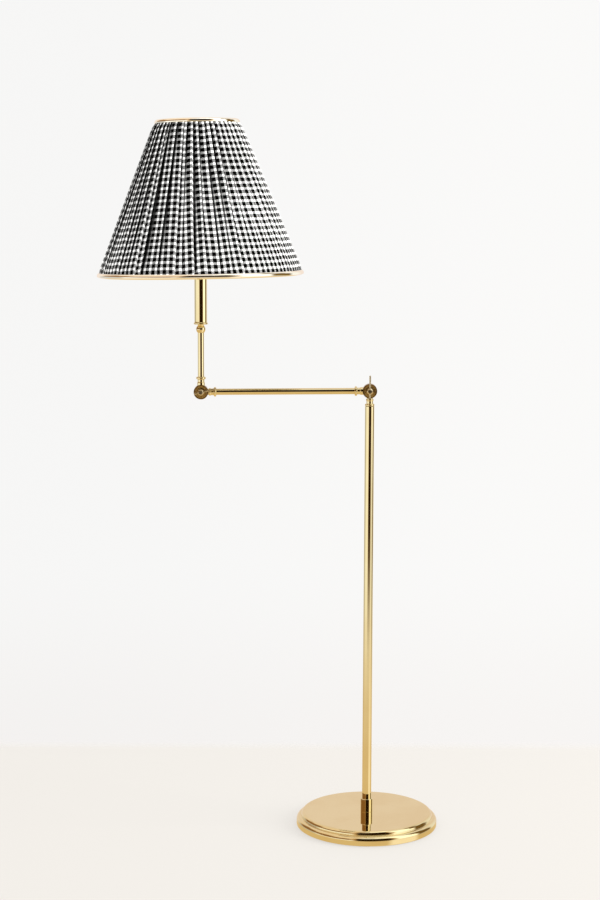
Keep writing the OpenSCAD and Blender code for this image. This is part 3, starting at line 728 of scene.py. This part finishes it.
def studio_colour(tree, azimuth, elevation):
    """The studio in each direction: pale walls, a window, a warm floor and a dark camera side."""
    colour = WALLS
    for azimuths, elevations, paint in STUDIO:
        across = band(tree, azimuth, *azimuths)
        upright = band(tree, elevation, *elevations)
        colour = paint_patch(tree, colour, across, upright, paint)
    spread = multiply(tree, azimuth, ramp(tree, elevation, -7.0, 2.0, 1.0, AZIMUTH_SHARE_ABOVE))
    upright = band(tree, elevation, *CAMERA_SIDE_ELEVATIONS)
    for azimuths, paint in CAMERA_SIDE:
        across = band(tree, spread, *azimuths)
        colour = paint_patch(tree, colour, across, upright, paint)
    return colour


def backdrop_colour(tree, x, z):
    """The plain wall: a little brighter to the right and a little darker down at the floor.

    X and z are those of the direction looked in."""
    left = (0.928, 0.925, 0.918, 1)
    right = (0.958, 0.953, 0.943, 1)
    at_floor = (0.972, 0.957, 0.95, 1)
    white = (1, 1, 1, 1)
    across = mix_colour(tree, ramp(tree, x, -0.16, 0.16), left, right)
    upright = mix_colour(tree, ramp(tree, z, -0.28, -0.18), at_floor, white)
    return multiply_colour(tree, across, upright)


def background(tree, colour, strength=1.0):
    made = add(tree, "ShaderNodeBackground", {"Color": colour, "Strength": strength})
    return made.outputs[0]


def mix_shader(tree, factor, a, b):
    return add(tree, "ShaderNodeMixShader", {0: factor, 1: a, 2: b}).outputs[0]


def make_world():
    """A plain pale background for the camera, a room for the brass to mirror, and soft light."""
    world = bpy.data.worlds.new("studio")
    bpy.context.scene.world = world
    world.use_nodes = True
    tree = world.node_tree
    tree.nodes.clear()
    direction = add(tree, "ShaderNodeTexCoord").outputs["Generated"]
    x, y, z = add(tree, "ShaderNodeSeparateXYZ", {"Vector": direction}).outputs
    bearing = maths(tree, "ARCTAN2", x, multiply(tree, y, -1.0))
    azimuth = multiply(tree, bearing, DEGREES)
    elevation = multiply(tree, maths(tree, "ARCSINE", z), DEGREES)
    mirrored = background(tree, studio_colour(tree, azimuth, elevation))
    brighter_right = ramp(tree, x, -1.0, 0.6, 1.45, 1.87)
    soft = background(tree, (1.0, 0.995, 0.985, 1), brighter_right)
    plain = background(tree, backdrop_colour(tree, x, z))
    path = add(tree, "ShaderNodeLightPath").outputs
    lit = mix_shader(tree, path["Is Glossy Ray"], soft, mirrored)
    seen = mix_shader(tree, path["Is Camera Ray"], lit, plain)
    add(tree, "ShaderNodeOutputWorld", {"Surface": seen})


def make_key_light():
    """One large soft light from the right, above the camera's side."""
    data = bpy.data.lights.new("key_light", "AREA")
    data.shape = "RECTANGLE"
    data.size = 2.4
    data.size_y = 2.8
    data.energy = 380.0
    data.color = (1.0, 0.99, 0.97)
    light = bpy.data.objects.new("key_light", data)
    light.location = (4.4, -1.0, 2.0)
    target = Vector((-0.15, 0.0, 0.9))
    aim = target - light.location
    light.rotation_euler = aim.to_track_quat("-Z", "Y").to_euler()
    light.visible_camera = False
    light.visible_glossy = False
    bpy.context.scene.collection.objects.link(light)


# The floor, in metres: half its width, its rear edge, how far it lies below the felt, and where it
# fades out towards the rear and away from the lamp
FLOOR_HALF = 3.2
FLOOR_REAR = 0.64
FLOOR_DROP = 0.0004
REAR_FADE = (0.54, 0.62)
FAR_FADE = (1.6, 3.1)


def floor_material():
    """Pale matt paper, see-through towards its edges."""
    material, tree, shader = new_material(
        "floor_pale",
        Roughness=0.8,
        Specular_IOR_Level=0.1,
        Emission_Color=(1.0, 0.966, 0.915, 1),
        Emission_Strength=0.632,
    )
    place = object_place(tree)
    clouds = noise(tree, place, scale=1.2, detail=2.0)
    tint = mix_colour(tree, clouds, (0.125, 0.12, 0.114, 1), (0.122, 0.118, 0.112, 1))
    plug(tree, shader.inputs["Base Color"], tint)
    x, y, _ = add(tree, "ShaderNodeSeparateXYZ", {"Vector": place}).outputs
    squares = maths(tree, "ADD", maths(tree, "POWER", x, 2.0), maths(tree, "POWER", y, 2.0))
    rear = ramp(tree, y, *REAR_FADE, 1.0, 0.0)
    far = ramp(tree, maths(tree, "SQRT", squares), *FAR_FADE, 1.0, 0.0)
    plug(tree, shader.inputs["Alpha"], multiply(tree, rear, far))
    return material


def make_floor():
    """Plain pale floor that fades into the background at its edges."""
    mesh = bpy.data.meshes.new("floor")
    corners = [
        (-FLOOR_HALF, -FLOOR_HALF, 0),
        (FLOOR_HALF, -FLOOR_HALF, 0),
        (FLOOR_HALF, FLOOR_REAR, 0),
        (-FLOOR_HALF, FLOOR_REAR, 0),
    ]
    mesh.from_pydata(corners, [], [(0, 1, 2, 3)])
    mesh.materials.append(floor_material())
    floor = bpy.data.objects.new("floor", mesh)
    floor.location.z = -FLOOR_DROP
    floor.visible_glossy = False
    bpy.context.scene.collection.objects.link(floor)


bpy.context.scene.view_settings.view_transform = "Standard"
make_camera()
make_world()
make_key_light()
make_floor()
materials = make_materials()
dress_nodes(materials)

cloth = build_cloth(materials["gingham"])
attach(cloth, "shade_stem")
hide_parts("shade_cloth")
